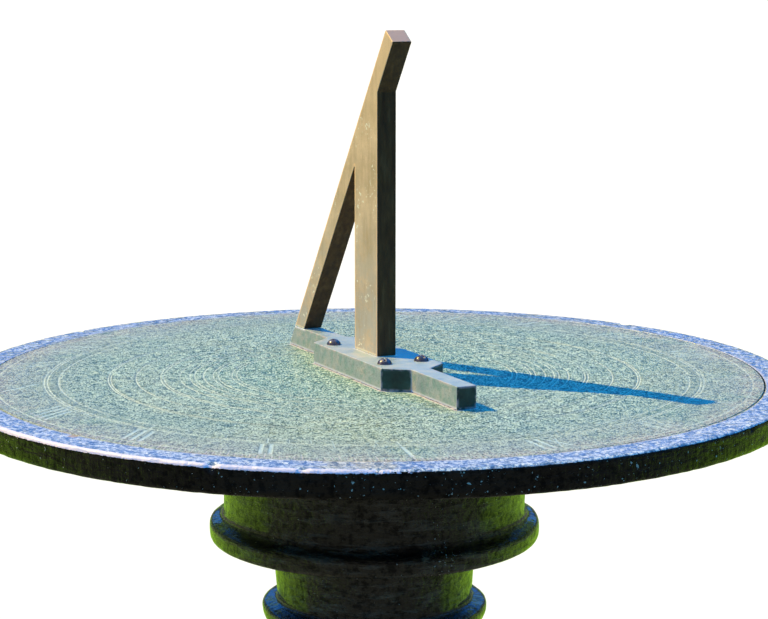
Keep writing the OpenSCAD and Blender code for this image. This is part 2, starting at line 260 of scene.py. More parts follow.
def patina(s, r, clouds):
    """The plate's ground colour: teal at the middle, mossy on one side, greyer and stained at the edge."""
    ground = s.ramp(
        clouds, (0.30, (0.155, 0.28, 0.28)), (0.50, (0.21, 0.31, 0.29)), (0.70, (0.29, 0.33, 0.27))
    )
    teal = s.mix(s.step(r, 0.05, 0.165, 0.85, 0.0), ground, (0.085, 0.30, 0.29))
    moss = s.step(s.distance_to(*MOSS_AT), 0.010, 0.085, 0.8, 0.0)
    mossy = s.mix(s.times(moss, s.step(clouds, 0.30, 0.62, 0.5, 1.0)), teal, (0.36, 0.38, 0.20))
    outer = s.times(s.step(r, 0.165, 0.230), s.step(s.noise(38 * MM, 4), 0.25, 0.55))
    greyed = s.mix(s.times(outer, 0.85), mossy, (0.32, 0.315, 0.345))
    damp = s.step(s.noise(30 * MM, 4, warp=0.5), 0.60, 0.70)
    damp = s.times(damp, s.step(r, 0.11, 0.18, 0.2, 1.0))
    damped = s.mix(s.times(damp, 0.45), greyed, (0.13, 0.20, 0.12))
    stain = s.times(s.step(r, 0.216, 0.236), s.step(s.noise(14 * MM, 4), 0.36, 0.58))
    return s.mix(s.times(stain, 0.7), damped, (0.38, 0.27, 0.28))


def engraving(s, r, ground, grain, mottle):
    """Pale circles, partly a painted highlight, and numerals and dark hour lines over the ground, each broken
    up by the grain, with painted shade along the lines' edges.
    """
    scored = s.mix(s.times(s.attribute("scored"), 0.75), ground, (0.06, 0.09, 0.08))
    # Painted shade: a dark line along the edges of the engraved circles and numerals.
    lined = s.mix(s.times(s.attribute("line_edge_shade"), 0.70), scored, (0.05, 0.08, 0.08))
    broken = s.step(s.plus(grain, s.times(mottle, 0.5)), 0.58, 0.74, 0.50, 0.95)
    # The pale circles are partly a painted highlight on the grooves' sunlit walls.
    engraved = s.mix(s.times(s.attribute("engraved"), broken), lined, (0.80, 0.83, 0.74))
    cut = s.mix(s.step(r, 0.224, 0.234), (0.62, 0.70, 0.70), (0.72, 0.61, 0.66))
    return s.mix(s.attribute("lettered"), engraved, cut)


def verdigris():
    """Speckled green and teal patina: fine pale and dark grains, partly painted light and shade of the
    crust's relief, greyer towards the plate's edge.
    """
    s = Shader(bpy.data.materials.new("verdigris"))
    r = s.radius()
    mottle = s.noise(5 * MM, 4, 0.7)
    grain = s.noise(1.0 * MM, 2, 0.7)
    ground = patina(s, r, s.noise(55 * MM, 5))
    # The grains' pale and dark stand partly for the lit tops and shaded slopes of the crust, and lean a
    # little with its height.
    level = s.plus(grain, s.times(s.minus(mottle, 0.5), 0.3))
    level = s.plus(level, s.times(s.attribute("crust"), 0.05))
    spread = s.step(r, 0.15, 0.215, 1.0, 0.65)
    pale = s.mix(s.times(s.step(level, 0.505, 0.545), spread), ground, (0.67, 0.74, 0.63))
    dark = s.mix(s.times(s.step(level, 0.475, 0.440), spread), pale, (0.01, 0.06, 0.06))
    band = s.times(s.step(r, 0.1955, 0.1965), s.step(r, 0.2018, 0.2010))
    shaded = s.mix(s.times(band, 0.15), dark, (0.12, 0.17, 0.13))
    marked = engraving(s, r, shaded, grain, mottle)
    deposit = s.times(s.attribute("deposit"), s.step(s.noise(5 * MM, 3), 0.30, 0.45))
    colour = s.mix(deposit, marked, (0.70, 0.62, 0.68))
    roughness = s.step(mottle, 0.3, 0.7, 0.36, 0.60)
    coarse = s.bump(mottle, 0.5 * MM)
    fine = s.bump(grain, 0.50 * MM, coarse)
    return s.finish(colour, roughness, fine, Specular_IOR_Level=0.4)


def brushed_paint(s, strokes, under_table):
    """Nearly black paint, brown along its brush strokes and thin in patches under the table but not on the
    side; the brown is partly a painted reflection of the ground.
    """
    worn = s.noise(40 * MM, 4, 0.6)
    base = s.ramp(
        worn, (0.35, (0.003, 0.002, 0.002)), (0.52, (0.007, 0.005, 0.004)), (0.70, (0.018, 0.011, 0.008))
    )
    # Partly painted reflection: the brown is kept to the shaded pedestal under the table, where the brown
    # ground is reflected.
    dust_and_reflection = s.times(s.step(strokes, 0.48, 0.62, 0.0, 0.8), under_table)
    dusty_and_reflected = s.mix(dust_and_reflection, base, (0.080, 0.064, 0.044))
    rubs_and_reflection = s.noise(9 * MM, 5, 0.75, s.stretched(0.4, 0.4, 1.2))
    rubs_and_reflection = s.times(s.step(rubs_and_reflection, 0.56, 0.66), s.step(worn, 0.46, 0.58, 0.0, 0.7))
    return s.mix(s.times(rubs_and_reflection, under_table), dusty_and_reflected, (0.20, 0.155, 0.09))


def bare_flecks(s):
    """Where the paint is off: specks, more of them on the table's side and at one knock, and a few chips."""
    patches = s.noise(45 * MM, 3, 0.6)
    knocked = s.step(s.distance_to(*KNOCKED_AT), 2 * MM, 14 * MM, 0.11, 0.0)
    exposed = s.step(s.axis("Z"), SIDE_TO, SIDE_FROM, 0.0, 0.045)
    likely = s.plus(s.step(patches, 0.46, 0.66, 0.0, 0.04), s.plus(knocked, exposed))
    speck = s.step(s.plus(s.noise(2.2 * MM, 3, 0.6), likely), 0.73, 0.76)
    chips = s.times(s.step(s.noise(3 * MM, 5, 0.7), 0.68, 0.72), s.step(patches, 0.55, 0.62))
    return s.larger(speck, chips)


def chalk_and_painted_sky_top(s, lumps, ragged):
    """Chalked blue-grey paint of the table's upper face, limed along the plate's joint, with a rust spot. Its
    blue is partly a painted sky reflection and its white specks partly painted sun glints.
    """
    # Partly painted reflection: the blue steps stand for the sky seen in the glossy top, and the white specks
    # partly for sun glints.
    chalk_and_painted_sky = s.ramp(
        s.noise(2.6 * MM, 5, 0.8, warp=0.5),
        (0.36, (0.03, 0.06, 0.14)),
        (0.43, (0.11, 0.17, 0.30)),
        (0.50, (0.26, 0.30, 0.43)),
        (0.55, (0.90, 0.84, 0.85)),
    )
    from_joint = s.minus(s.radius(), PLATE_R)
    lime = s.times(s.step(from_joint, 0.5 * MM, 0.9 * MM), s.step(from_joint, 3 * MM, 2 * MM))
    limed = s.mix(s.times(lime, s.step(lumps, 0.40, 0.56, 0.0, 0.8)), chalk_and_painted_sky, (0.72, 0.60, 0.58))
    from_rust = s.plus(s.distance_to(*RUST_AT), s.times(ragged, 3 * MM))
    return s.mix(s.step(from_rust, 5.0 * MM, 3.6 * MM), limed, (0.62, 0.36, 0.10))


def black_paint():
    """Thick glossy black paint over cast iron, brushed on in strokes, chipped in places.

    The table carries two attributes: top marks its weathered upper face, whose colour is partly a painted sky
    reflection, and edge its upper corner, painted with the sun's highlight.
    """
    s = Shader(bpy.data.materials.new("black_paint"))
    strokes = s.noise(4.5 * MM, 4, 0.6, s.stretched(0.22, 0.22, 1.3))
    drips = s.noise(7 * MM, 3, 0.6, s.stretched(1.3, 1.3, 0.3))
    lumps = s.noise(4 * MM, 5, 0.65)
    pits = s.noise(0.9 * MM, 3, 0.6)
    ragged = s.noise(2.4 * MM, 4, 0.7)
    fray = s.minus(ragged, 0.5)
    under_table = s.step(s.axis("Z"), SIDE_FROM, SIDE_TO)
    bare = bare_flecks(s)
    flecked = s.mix(s.times(bare, 0.85), brushed_paint(s, strokes, under_table), (0.58, 0.54, 0.42))
    top = s.step(s.plus(s.attribute("top"), s.times(fray, 1.2)), 0.42, 0.58)
    weathered = s.mix(top, flecked, chalk_and_painted_sky_top(s, lumps, ragged))
    # Painted highlight: the upper corner is painted pinkish white towards the bearing where the sun's
    # highlight falls.
    rubbed = s.step(s.plus(s.attribute("edge"), s.times(fray, 1.6)), 0.45, 0.60)
    colour = s.mix(rubbed, weathered, (0.88, 0.72, 0.86))
    gloss = s.step(lumps, 0.3, 0.75, 0.05, 0.16)
    chalky = s.times(s.larger(s.larger(top, rubbed), bare), 0.3)
    roughness = s.plus(gloss, chalky)
    body = s.plus(s.times(under_table, 0.6), 0.4)
    broad = s.bump(s.times(strokes, body), 2.2 * MM, s.bump(drips, 1.0 * MM))
    lumpy = s.bump(s.times(lumps, body), 1.8 * MM, broad)
    fine = s.bump(pits, 0.22 * MM, lumpy)
    shine = s.step(s.plus(lumps, s.times(pits, 0.3)), 0.54, 0.68, 0.30, 0.85)
    shine = s.times(shine, s.larger(body, top))
    return s.finish(colour, roughness, fine, Specular_IOR_Level=shine, Coat_Weight=shine, Coat_Roughness=0.04)


def joint_deposit(s, low, high):
    """Pale deposit along a joint, broken up by noise between low and high, and left off the north side, which
    is painted dark as shade.
    """
    deposit = s.times(s.attribute("deposit"), s.step(s.noise(3 * MM, 3), low, high))
    return s.times(deposit, s.step(s.attribute("north"), 0.60, 0.30))


def gnomon_bronze():
    """Tan weathered bronze, worn orange on its edges with a painted highlight where the sun falls, greyer low
    down, painted nearly black as shade on its north side.
    """
    s = Shader(bpy.data.materials.new("gnomon_bronze"))
    height = s.axis("Z")
    clouds = s.noise(24 * MM, 5, 0.65)
    brushed = s.noise(3.5 * MM, 4, 0.6, s.stretched(1, 1, 0.15))
    grain = s.noise(0.9 * MM, 3, 0.7)
    tan = s.ramp(
        clouds, (0.32, (0.50, 0.36, 0.22)), (0.50, (0.66, 0.47, 0.31)), (0.66, (0.80, 0.58, 0.39))
    )
    high = s.mix(s.step(height, PLATE_TOP + 0.12, PLATE_TOP + 0.20, 0.0, 0.7), tan, (0.86, 0.59, 0.37))
    low = s.step(height, PLATE_TOP + 0.13, PLATE_TOP + 0.02, 0.0, 1.0)
    mottle = s.times(low, s.step(s.noise(9 * MM, 5, 0.75), 0.36, 0.58, 0.25, 1.0))
    greyer = s.mix(mottle, high, (0.50, 0.44, 0.39))
    streaked = s.mix(s.step(brushed, 0.45, 0.68, 0.0, 0.3), greyer, (0.42, 0.28, 0.16))
    tarnish = s.mix(s.step(grain, 0.56, 0.70, 0.0, 0.35), streaked, (0.22, 0.17, 0.11))
    specks = s.times(
        s.step(s.noise(2.4 * MM, 3, 0.6), 0.62, 0.65), s.step(s.noise(22 * MM, 2), 0.50, 0.58)
    )
    specked = s.mix(specks, tarnish, (0.88, 0.82, 0.70))
    end_cut = s.mix(s.step(s.attribute("up"), 0.70, 0.78), specked, (0.84, 0.44, 0.31))
    # Painted shade: the north side, turned from the sun, is painted nearly black.
    damp = s.ramp(
        brushed, (0.35, (0.060, 0.026, 0.008)), (0.55, (0.095, 0.044, 0.012)), (0.70, (0.14, 0.072, 0.024))
    )
    painted_shade_sided = s.mix(s.step(s.attribute("north"), 0.56, 0.70), end_cut, damp)
    # The orange edges are wear and also a painted highlight, left off the north side so that they show only
    # in the sun.
    worn = s.times(s.attribute("edge"), s.step(s.noise(9 * MM, 3), 0.30, 0.50, 0.4, 1.0))
    worn = s.times(worn, s.step(s.attribute("north"), 0.60, 0.45))
    rubbed = s.mix(s.times(worn, 0.8), painted_shade_sided, (0.92, 0.58, 0.32))
    colour = s.mix(joint_deposit(s, 0.35, 0.5), rubbed, (0.72, 0.70, 0.58))
    roughness = s.step(clouds, 0.3, 0.7, 0.40, 0.58)
    normal = s.bump(grain, 0.10 * MM, s.bump(brushed, 0.18 * MM))
    return s.finish(colour, roughness, normal, metallic=0.1, Specular_IOR_Level=0.3)


def foot_bronze():
    """Grey-green patina over bronze, pale on top, painted dark teal as shade on its north side, with rubbed
    edges.
    """
    s = Shader(bpy.data.materials.new("foot_bronze"))
    clouds = s.noise(11 * MM, 5, 0.65)
    grain = s.noise(0.9 * MM, 4, 0.7)
    ground = s.ramp(
        clouds, (0.30, (0.25, 0.32, 0.34)), (0.50, (0.38, 0.42, 0.43)), (0.68, (0.54, 0.47, 0.43))
    )
    streaks = s.noise(5 * MM, 5, 0.7, s.stretched(1, 1, 0.85))
    crusted = s.mix(s.step(streaks, 0.48, 0.60, 0.0, 0.7), ground, (0.20, 0.33, 0.31))
    tarnish = s.mix(s.step(grain, 0.50, 0.64, 0.0, 0.6), crusted, (0.14, 0.15, 0.12))
    pale = s.ramp(clouds, (0.35, (0.38, 0.45, 0.52)), (0.50, (0.46, 0.52, 0.56)), (0.65, (0.56, 0.55, 0.58)))
    topped = s.mix(s.step(s.attribute("up"), 0.55, 0.8, 0.0, 0.9), tarnish, pale)
    # Painted shade: the north side, turned from the sun, is painted dark teal.
    damp = s.ramp(
        clouds, (0.35, (0.02, 0.036, 0.028)), (0.55, (0.03, 0.065, 0.048)), (0.75, (0.05, 0.12, 0.10))
    )
    painted_shade_sided = s.mix(s.step(s.attribute("north"), 0.55, 0.78), topped, damp)
    worn = s.times(s.attribute("edge"), s.step(s.noise(5 * MM, 3), 0.42, 0.62))
    rubbed = s.mix(s.times(worn, 0.6), painted_shade_sided, (0.60, 0.44, 0.47))
    colour = s.mix(joint_deposit(s, 0.25, 0.42), rubbed, (0.72, 0.70, 0.80))
    roughness = s.step(clouds, 0.3, 0.7, 0.32, 0.5)
    normal = s.bump(grain, 0.12 * MM, s.bump(clouds, 0.8 * MM))
    return s.finish(colour, roughness, normal, metallic=0.12, Specular_IOR_Level=0.4)


def screw_bronze():
    """Dark purple-brown screw bronze, polished where a driver has turned it."""
    s = Shader(bpy.data.materials.new("screw_bronze"))
    clouds = s.noise(2.5 * MM, 4, 0.6)
    grain = s.noise(0.5 * MM, 3, 0.7)
    base = s.ramp(
        clouds, (0.3, (0.03, 0.02, 0.035)), (0.55, (0.08, 0.055, 0.085)), (0.75, (0.18, 0.13, 0.19))
    )
    colour = s.mix(s.times(s.attribute("edge"), 0.5), base, (0.50, 0.40, 0.42))
    roughness = s.step(clouds, 0.3, 0.7, 0.22, 0.42)
    normal = s.bump(grain, 0.05 * MM, s.bump(clouds, 0.2 * MM))
    return s.finish(colour, roughness, normal, metallic=0.15, Coat_Weight=1.0, Coat_Roughness=0.12)


def fixing_steel():
    """Dull zinc-plated steel with a little rust bleeding through."""
    s = Shader(bpy.data.materials.new("fixing_steel"))
    clouds = s.noise(6 * MM, 4, 0.6)
    grain = s.noise(0.8 * MM, 3, 0.6)
    zinc = s.ramp(clouds, (0.3, (0.30, 0.31, 0.32)), (0.7, (0.52, 0.53, 0.54)))
    rust = s.times(s.step(s.noise(9 * MM, 5, 0.7), 0.54, 0.66), s.step(grain, 0.35, 0.6))
    colour = s.mix(s.times(rust, 0.8), zinc, (0.17, 0.07, 0.03))
    roughness = s.plus(s.step(clouds, 0.3, 0.7, 0.32, 0.5), s.times(rust, 0.3))
    return s.finish(colour, roughness, s.bump(grain, 0.06 * MM), metallic=s.minus(0.95, rust))


# ---------------------------------------------------------------- noise and meshes


def lattice(cell, seed):
    """A repeatable value from -1 to 1 for each whole-number point."""
    x, y, z = cell
    mixed = x * 73856093 ^ y * 19349663 ^ z * 83492791 ^ (seed * 9176 + 11)
    mixed = (mixed ^ (mixed >> 13)) * 1274126177
    mixed = (mixed ^ (mixed >> 15)) * 668265263
    return ((mixed ^ (mixed >> 16)) & 0xFFFF) / 32767.5 - 1.0


def value_noise(points, size, seed):
    scaled = points / size
    whole = np.floor(scaled).astype(np.int64)
    part = scaled - whole
    part = part * part * (3 - 2 * part)
    total = np.zeros(len(points))
    for corner in np.ndindex(2, 2, 2):
        weight = np.ones(len(points))
        for i in range(3):
            weight = weight * (part[:, i] if corner[i] else 1 - part[:, i])
        total += weight * lattice((whole + np.array(corner)).T, seed)
    return total


def fractal_noise(points, size, octaves=3, seed=1):
    """Layers of value noise, each half the size and 0.55 times the height of the last: about -1 to 1."""
    total = np.zeros(len(points))
    height = 1.0
    full = 0.0
    for octave in range(octaves):
        total += height * value_noise(points + 0.37 * octave, size / 2 ** octave, seed + octave)
        full += height
        height *= 0.55
    return total / full


def smooth_step(low, high, value):
    t = np.clip((value - low) / (high - low), 0, 1)
    return t * t * (3 - 2 * t)


def mesh_from(name, points, faces):
    """A mesh from an array of points and a list of face arrays, each for faces of one corner count."""
    mesh = bpy.data.meshes.new(name)
    corners = np.concatenate([f.ravel() for f in faces])
    counts = np.concatenate([np.full(len(f), f.shape[1]) for f in faces])
    starts = np.concatenate([[0], np.cumsum(counts)[:-1]])
    mesh.vertices.add(len(points))
    mesh.vertices.foreach_set("co", points.astype(np.float32).ravel())
    mesh.loops.add(len(corners))
    mesh.loops.foreach_set("vertex_index", corners.astype(np.int32))
    mesh.polygons.add(len(counts))
    mesh.polygons.foreach_set("loop_start", starts.astype(np.int32))
    mesh.update(calc_edges=True)
    mesh.validate()
    return mesh


def grid_faces(rows, columns, first=0, closed_rows=False):
    """Four-cornered faces of a grid whose columns close on themselves, and its rows too if asked."""
    row = np.arange(rows if closed_rows else rows - 1)[:, None]
    column = np.arange(columns)[None, :]
    next_row = (row + 1) % rows
    next_column = (column + 1) % columns
    corners = [row * columns + column, next_row * columns + column,
               next_row * columns + next_column, row * columns + next_column]
    return first + np.stack(np.broadcast_arrays(*corners), -1).reshape(-1, 4)


def add_attribute(mesh, name, values):
    mesh.attributes.new(name, "FLOAT", "POINT").data.foreach_set("value", values.astype(np.float32))


def coordinates(mesh):
    flat = np.empty(len(mesh.vertices) * 3, np.float32)
    mesh.vertices.foreach_get("co", flat)
    return flat.reshape(-1, 3).astype(float)


def normals(mesh):
    flat = np.empty(len(mesh.vertices) * 3, np.float32)
    mesh.vertex_normals.foreach_get("vector", flat)
    return flat.reshape(-1, 3).astype(float)


def move_along_normals(mesh, amount):
    moved = coordinates(mesh) + normals(mesh) * amount[:, None]
    mesh.vertices.foreach_set("co", moved.astype(np.float32).ravel())
    mesh.update()


def place(name, mesh, material, node, slot):
    """Puts a finished piece in the scene, in place of one CAD node."""
    mesh.materials.clear()
    mesh.materials.append(material)
    mesh.shade_smooth()
    piece = bpy.data.objects.new(name, mesh)
    bpy.context.scene.collection.objects.link(piece)
    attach(piece, BODY)
    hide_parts(node)
    return piece


# ---------------------------------------------------------------- turned castings

SECTION_BEARING = math.radians(157.3)


def section(node):
    """(outline, closed): the (radius, height) points of a CAD node cut where no hole is met.

    A node that is solid at its middle has an open outline, from the axis round to the axis again.
    """
    outward = Vector((math.cos(SECTION_BEARING), math.sin(SECTION_BEARING), 0))
    sideways = Vector((-outward.y, outward.x, 0))
    cut = bmesh.new()
    cut.from_mesh(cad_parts[node].data)
    bmesh.ops.remove_doubles(cut, verts=cut.verts, dist=1e-6)
    bmesh.ops.bisect_plane(
        cut, geom=[*cut.verts, *cut.edges, *cut.faces], plane_co=(0, 0, 0), plane_no=outward, clear_inner=True
    )
    crossed = bmesh.ops.bisect_plane(
        cut, geom=[*cut.verts, *cut.edges, *cut.faces], plane_co=(0, 0, 0), plane_no=sideways
    )["geom_cut"]
    joined = {}
    for edge in (g for g in crossed if isinstance(g, bmesh.types.BMEdge)):
        for here, there in (edge.verts, reversed(edge.verts)):
            joined.setdefault(here, []).append(there)
    ends = [v for v in joined if len(joined[v]) == 1]
    start = here = max(ends or joined, key=lambda v: v.co.z)
    outline, last = [], None
    while here is not None and (here is not start or last is None):
        outline.append((max(here.co.dot(outward), 2 * MM), here.co.z))
        ahead = [v for v in joined[here] if v is not last]
        last, here = here, ahead[0] if ahead else None
    cut.free()
    return np.array(outline), not ends


def resampled(outline, closed, spacing):
    """Points every spacing along an outline."""
    path = np.vstack([outline, outline[:1]]) if closed else outline
    lengths = np.hypot(*np.diff(path, axis=0).T)
    along = np.concatenate([[0], np.cumsum(lengths)])
    places = np.linspace(0, along[-1], round(along[-1] / spacing), endpoint=not closed)
    return np.stack([np.interp(places, along, path[:, i]) for i in range(2)], -1)


def rounded(outline, closed, passes):
    """Softens an evenly spaced outline's corners, as thick paint does."""
    for _ in range(passes):
        softer = 0.5 * outline + 0.25 * (np.roll(outline, 1, axis=0) + np.roll(outline, -1, axis=0))
        if not closed:
            softer[[0, -1]] = outline[[0, -1]]
        outline = softer
    return outline


def thinned(outline, spacing_at):
    """Keeps the points of an outline that are spacing_at(radius, height) or more apart."""
    kept = [outline[0]]
    for point in outline[1:]:
        if math.dist(point, kept[-1]) >= spacing_at(*point):
            kept.append(point)
    return np.array(kept)


def turned(outline, closed, columns):
    """Turns an outline about the pedestal's axis; an open outline is closed with a small cap at each end."""
    area = np.sum(outline[:, 0] * np.roll(outline[:, 1], -1) - np.roll(outline[:, 0], -1) * outline[:, 1])
    if area > 0:
        outline = outline[::-1]
    angle = np.arange(columns) * 2 * math.pi / columns
    r, z = outline[:, 0, None], outline[:, 1, None]
    points = np.stack(np.broadcast_arrays(r * np.cos(angle), r * np.sin(angle), z), -1).reshape(-1, 3)
    faces = [grid_faces(len(outline), columns, closed_rows=closed)]
    if not closed:
        first = np.arange(columns)[None, :]
        faces += [first, (len(points) - 1 - np.arange(columns))[None, :]]
    return points, faces


def paint_relief(points, lump, depth, seed):
    """How far brushed paint stands back from the casting's full size at each point: always inwards."""
    stroke = points * np.array([0.35, 0.35, 2.4])
    relief = 0.55 * fractal_noise(points, lump, 4, seed) + 0.45 * fractal_noise(stroke, lump, 3, seed + 40)
    return -depth * (0.5 - 0.5 * np.clip(1.4 * relief, -1, 1))


def turned_casting(name, node, columns, fine, coarse, seen_from, material, seed):
    """A painted casting made from its CAD section, with fine rows outside the radius seen_from."""
    outline, closed = section(node)
    outline = rounded(resampled(outline, closed, 0.6 * MM), closed, 8)
    kept = thinned(outline, lambda r, z: fine if r > seen_from else coarse)
    points, faces = turned(kept, closed, columns)
    mesh = mesh_from(name, points, faces)
    move_along_normals(mesh, paint_relief(points, 9 * MM, 0.55 * MM, seed))
    return place(name, mesh, material, node, "black_iron")


# ---------------------------------------------------------------- solids kept at their CAD outline


def welded(node):
    """The CAD node's mesh with its vertices joined and its flat faces whole."""
    solid = bmesh.new()
    solid.from_mesh(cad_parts[node].data)
    bmesh.ops.remove_doubles(solid, verts=solid.verts, dist=1e-6)
    bmesh.ops.dissolve_limit(
        solid, angle_limit=math.radians(1), verts=solid.verts, edges=solid.edges
    )
    return solid


def sharp_edges(solid):
    return [
        e for e in solid.edges
        if len(e.link_faces) == 2 and e.calc_face_angle(0) > math.radians(25)
    ]


def distance_to_segments(points, segments):
    nearest = np.full(len(points), 1e9)
    for a, b in segments:
        along = b - a
        t = np.clip((points - a) @ along / max(along @ along, 1e-12), 0, 1)
        nearest = np.minimum(nearest, np.linalg.norm(points - a - t[:, None] * along, axis=1))
    return nearest


def evaluated_mesh(piece):
    depsgraph = bpy.context.evaluated_depsgraph_get()
    return bpy.data.meshes.new_from_object(piece.evaluated_get(depsgraph))


def even_solid(name, node, cell, edge_radius):
    """(mesh, distance of each vertex from a sharp edge): a CAD node's shape with its sharp edges rounded.

    Its faces are even and about one cell across.
    """
    solid = welded(node)
    edges = sharp_edges(solid)
    segments = [tuple(np.array(v.co) for v in e.verts) for e in edges]
    bmesh.ops.bevel(
        solid, geom=edges, offset=edge_radius, segments=3, profile=0.5, affect="EDGES", clamp_overlap=True
    )
    shape = bpy.data.objects.new(name + "_shape", bpy.data.meshes.new(name + "_shape"))
    solid.to_mesh(shape.data)
    solid.free()
    skin = bpy.data.objects.new(name + "_skin", shape.data.copy())
    for helper in (shape, skin):
        bpy.context.scene.collection.objects.link(helper)
    remesh = skin.modifiers.new("even", "REMESH")
    remesh.mode = "VOXEL"
    remesh.voxel_size = cell
    cling = skin.modifiers.new("cling", "SHRINKWRAP")
    cling.target = shape
    cling.wrap_method = "NEAREST_SURFACEPOINT"
    mesh = evaluated_mesh(skin)
    for helper in (shape, skin):
        bpy.data.objects.remove(helper)
    return mesh, distance_to_segments(coordinates(mesh), segments)


def seam(node, height):
    """The segments of a CAD node's sharp edges that lie at one height."""
    solid = welded(node)
    segments = [
        tuple(np.array(v.co) for v in e.verts)
        for e in sharp_edges(solid)
        if all(abs(v.co.z - height) < 0.01 * MM for v in e.verts)
    ]
    solid.free()
    return segments


def deposit_along(points, segments, reach_out):
    """1 on a seam, falling to 0 at reach_out from it."""
    return 1 - smooth_step(0.3 * reach_out, reach_out, distance_to_segments(points, segments))


def worn_solid(name, node, cell, edge_radius, edge_reach, relief, material, slot, seed, deposit_seam=()):
    """A metal piece with rounded, unevenly worn edges and a slightly uneven surface."""
    mesh, from_edge = even_solid(name, node, cell, edge_radius)
    points = coordinates(mesh)
    facing = normals(mesh)
    uneven = 0.5 - 0.5 * fractal_noise(points, 14 * cell, 4, seed)
    edge = 1 - smooth_step(0.35 * edge_reach, edge_reach, from_edge)
    dents = np.clip(fractal_noise(points, 6 * cell, 3, seed + 7), 0, 1)
    move_along_normals(mesh, -relief * (0.5 * uneven + 1.2 * edge * dents))
    add_attribute(mesh, "edge", edge)
    add_attribute(mesh, "north", facing[:, 1])
    add_attribute(mesh, "up", facing[:, 2])
    if deposit_seam:
        add_attribute(mesh, "deposit", deposit_along(points, deposit_seam, 1.8 * MM))
    return place(name, mesh, material, node, slot)


# ---------------------------------------------------------------- dial plate

LATITUDE = math.radians(55.1)
BAR_HALF = (FRAME_HIGH.x - FRAME_LOW.x) / 2
HOUR_ORIGIN_Y = FOOT_LOW.y
LINE_W = 0.8 * MM
LINE_DEPTH = 0.4 * MM
CHAPTER_IN = 204 * MM
CHAPTER_OUT = 233 * MM
HOUR_LINE_IN = 118 * MM
SCALE_IN = 195 * MM
TEN_MINUTES_OUT = 202 * MM
TICK_IN = 233.4 * MM
TICK_OUT = 238.8 * MM
INNER_CIRCLES = [r * MM for r in (86, 89, 97.5, 100.5, 106.5, 112, 115, 121, 131, 133, 148, 163.5, 165)]
OUTER_CIRCLES = [SCALE_IN, TEN_MINUTES_OUT, CHAPTER_IN, CHAPTER_OUT]
FINE_FROM = 190 * MM
COLUMNS = 1440
FINE_COLUMNS = 2 * COLUMNS
NUMERAL_H = 22 * MM
THICK_STROKE = 2.4 * MM
THIN_STROKE = 1.1 * MM
NUMERALS = {
    -8: "IIII", -7: "V", -6: "VI", -5: "VII", -4: "VIII", -3: "IX", -2: "X", -1: "XI", 0: "XII",
    1: "I", 2: "II", 3: "III", 4: "IIII", 5: "V", 6: "VI", 7: "VII", 8: "VIII",
}
LETTER_W = {"I": 5.2 * MM, "V": 11 * MM, "X": 11 * MM}


def hour_bearing(hours_from_noon):
    """The hour line's angle from the noon line, from the rule for a horizontal dial."""
    h = math.radians(15 * hours_from_noon)
    return math.atan2(math.sin(LATITUDE) * math.sin(h), math.cos(h))


def reach(start, along, circle_r):
    """Distance from start along a unit direction to a circle about the plate's centre, 0 if behind."""
    b = start @ along
    return max(0, -b + math.sqrt(max(0, b * b - start @ start + circle_r * circle_r)))


def hour_ray(hours_from_noon, side=None):
    """(start, direction) of an hour line: it leaves the style's edge on the side that the shadow falls."""
    bearing = hour_bearing(hours_from_noon)
    side = side or (1 if hours_from_noon >= 0 else -1)
    start = np.array([side * BAR_HALF, HOUR_ORIGIN_Y])
    return start, np.array([math.sin(bearing), math.cos(bearing)])


def hour_strokes(hours_from_noon, inner, outer, width, side=None):
    start, along = hour_ray(hours_from_noon, side)
    near, far = reach(start, along, inner), reach(start, along, outer)
    return [(start + along * near, start + along * far, width)]


def letter_strokes(letter, at):
    """(start, end, width) strokes of a Roman letter. at(x, y) puts a point of the letter on the plate."""
    half = NUMERAL_H / 2
    wide = LETTER_W[letter] / 2 - THICK_STROKE / 2
    if letter == "I":
        serif = 1.5 * MM
        return [
            (at(0, -half), at(0, half), THICK_STROKE),
            (at(-serif, half), at(serif, half), THIN_STROKE),
            (at(-serif, -half), at(serif, -half), THIN_STROKE),
        ]
    if letter == "V":
        return [
            (at(-wide, half), at(0, -half), THICK_STROKE),
            (at(wide, half), at(0, -half), THIN_STROKE),
        ]
    return [
        (at(-wide, half), at(wide, -half), THICK_STROKE),
        (at(wide, half), at(-wide, -half), THIN_STROKE),
    ]


def numeral_strokes(hours_from_noon):
    """A numeral between the chapter circles, its upright strokes drawn towards the dial's hour origin."""
    start, along = hour_ray(hours_from_noon)
    if hours_from_noon == 0:
        start = np.array([0.0, HOUR_ORIGIN_Y])
    middle_r = (CHAPTER_IN + CHAPTER_OUT) / 2
    middle = start + along * reach(start, along, middle_r)
    across = np.array([along[1], -along[0]])

    def on_plate(x, y):
        ray = middle + across * x - start
        ray = ray / np.linalg.norm(ray)
        return start + ray * reach(start, ray, middle_r + y)

    text = NUMERALS[hours_from_noon]
    strokes, x = [], -sum(LETTER_W[c] for c in text) / 2
    for c in text:
        centre = x + LETTER_W[c] / 2
        strokes += letter_strokes(c, lambda dx, dy: on_plate(centre + dx, dy))
        x += LETTER_W[c]
    return strokes


def hour_line_strokes():
    strokes = hour_strokes(0, HOUR_LINE_IN, SCALE_IN, 0.7 * MM, side=-1)
    for hour in NUMERALS:
        strokes += hour_strokes(hour, HOUR_LINE_IN, SCALE_IN, 0.7 * MM)
    return strokes


